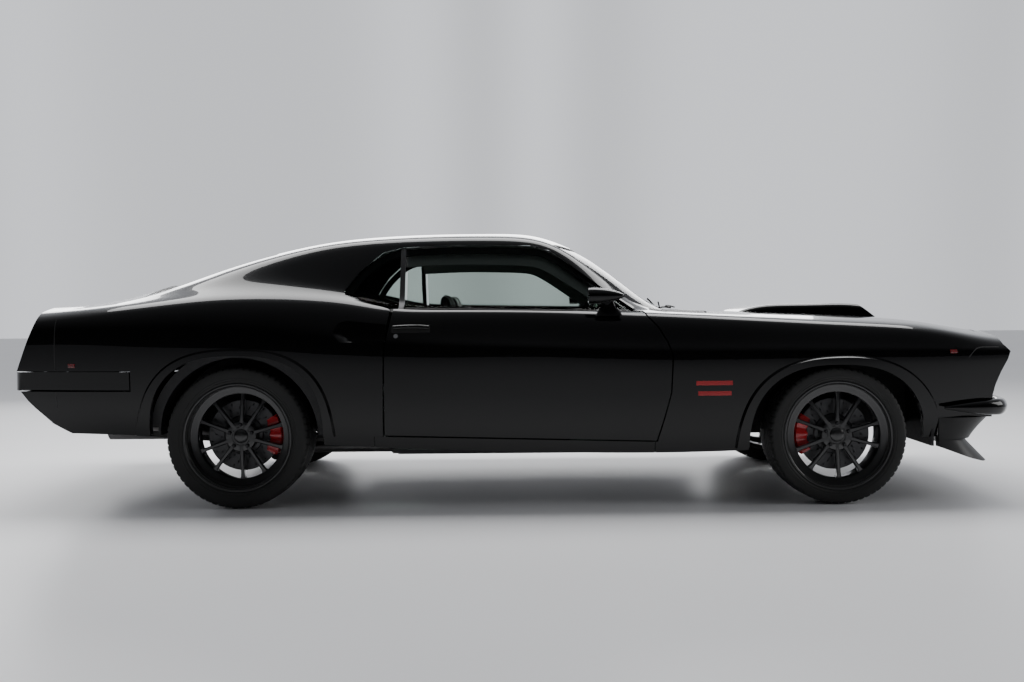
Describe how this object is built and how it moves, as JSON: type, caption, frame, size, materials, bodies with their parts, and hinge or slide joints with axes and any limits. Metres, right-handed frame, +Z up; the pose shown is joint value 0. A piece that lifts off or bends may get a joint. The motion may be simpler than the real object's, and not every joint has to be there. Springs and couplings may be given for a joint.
{
  "type": "fastback muscle car",
  "caption": "Low fastback coupe with long hood, open hood scoop, ducktail, deep spoked wheels, opening doors, hood and trunk, and steered front wheels.",
  "frame": {"origin": "on the ground under the middle of the car", "axes": "+X forward to the nose, +Y to the car's left, +Z up"},
  "size_m": [4.76, 1.8278, 1.2917],
  "materials": {
    "black_paint": "gloss",
    "underbody_black": "satin",
    "clear_glass": "clear",
    "lamp_glass": "clear",
    "red_lamp": "gloss",
    "black_plastic": "matte",
    "trim_vinyl": "satin",
    "black_wheel": "gloss",
    "tyre": "matte",
    "cast_iron": "matte",
    "red_caliper": "satin",
    "steel": "satin"
  },
  "bodies": {
    "body": {"floor_pan": "underbody_black", "rocker_panels": "black_paint", "front_structure": "underbody_black", "rear_structure": "underbody_black", "front_fender_left": "black_paint", "front_fender_right": "black_paint", "quarter_panel_left": "black_paint", "quarter_panel_right": "black_paint", "roof_panel": "black_paint", "tail_panel": "black_paint", "tail_lamps": "red_lamp", "nose_panel": "black_paint", "grille": "black_plastic", "headlamps": "lamp_glass", "front_bumper": "black_paint", "rear_bumper": "black_paint", "front_valance": "black_paint", "windshield": "clear_glass", "rear_window": "clear_glass", "quarter_glass": "clear_glass", "dashboard": "black_plastic", "front_seats": "trim_vinyl", "rear_seat": "trim_vinyl", "engine": "cast_iron", "exhaust": "steel", "front_suspension": "underbody_black", "rear_axle": "cast_iron"},
    "hood": {"hood": "black_paint", "hood_scoop": "black_paint"},
    "trunk_lid": {"trunk_lid": "black_paint"},
    "door_left": {"door_left": "black_paint", "door_glass_left": "clear_glass"},
    "door_right": {"door_right": "black_paint", "door_glass_right": "clear_glass"},
    "steering_wheel": {"steering_wheel": "trim_vinyl"},
    "knuckle_left": {"knuckle_left": "cast_iron"},
    "knuckle_right": {"knuckle_right": "cast_iron"},
    "front_wheel_left": {"front_wheel_left": "black_wheel", "front_tyre_left": "tyre"},
    "front_wheel_right": {"front_wheel_right": "black_wheel", "front_tyre_right": "tyre"},
    "rear_wheel_left": {"rear_wheel_left": "black_wheel", "rear_tyre_left": "tyre"},
    "rear_wheel_right": {"rear_wheel_right": "black_wheel", "rear_tyre_right": "tyre"}
  },
  "joints": [
    {"name": "steer_left", "type": "hinge", "parent": "body", "child": "knuckle_left", "pos_m": [1.48, 0.7075, 0.314], "axis": [0, 0, 1], "range_deg": [-33, 33]},
    {"name": "steer_right", "type": "hinge", "parent": "body", "child": "knuckle_right", "pos_m": [1.48, -0.7075, 0.314], "axis": [0, 0, 1], "range_deg": [-33, 33]},
    {"name": "steering_wheel_turn", "type": "hinge", "parent": "body", "child": "steering_wheel", "pos_m": [0.432, 0.37, 0.762], "axis": [-0.9339, 0, 0.3576], "range_deg": [-462, 462]},
    {"name": "front_wheel_left_spin", "type": "hinge", "parent": "knuckle_left", "child": "front_wheel_left", "pos_m": [1.48, 0.76, 0.314], "axis": [0, 1, 0], "continuous": true},
    {"name": "front_wheel_right_spin", "type": "hinge", "parent": "knuckle_right", "child": "front_wheel_right", "pos_m": [1.48, -0.76, 0.314], "axis": [0, 1, 0], "continuous": true},
    {"name": "rear_wheel_left_spin", "type": "hinge", "parent": "body", "child": "rear_wheel_left", "pos_m": [-1.263, 0.72, 0.325], "axis": [0, 1, 0], "continuous": true},
    {"name": "rear_wheel_right_spin", "type": "hinge", "parent": "body", "child": "rear_wheel_right", "pos_m": [-1.263, -0.72, 0.325], "axis": [0, 1, 0], "continuous": true},
    {"name": "door_left_swing", "type": "hinge", "parent": "body", "child": "door_left", "pos_m": [0.8, 0.85, 0.5], "axis": [0, 0, -1], "range_deg": [0, 68]},
    {"name": "door_right_swing", "type": "hinge", "parent": "body", "child": "door_right", "pos_m": [0.8, -0.85, 0.5], "axis": [0, 0, 1], "range_deg": [0, 68]},
    {"name": "hood_lift", "type": "hinge", "parent": "body", "child": "hood", "pos_m": [0.865, 0, 0.845], "axis": [0, -1, 0], "range_deg": [0, 52]},
    {"name": "trunk_lift", "type": "hinge", "parent": "body", "child": "trunk_lid", "pos_m": [-1.715, 0, 0.988], "axis": [0, 1, 0], "range_deg": [0, 48]}
  ],
  "couplings": [
    {"joint": "steer_right", "follows": "steer_left", "ratio": 1},
    {"joint": "steering_wheel_turn", "follows": "steer_left", "ratio": 14}
  ]
}
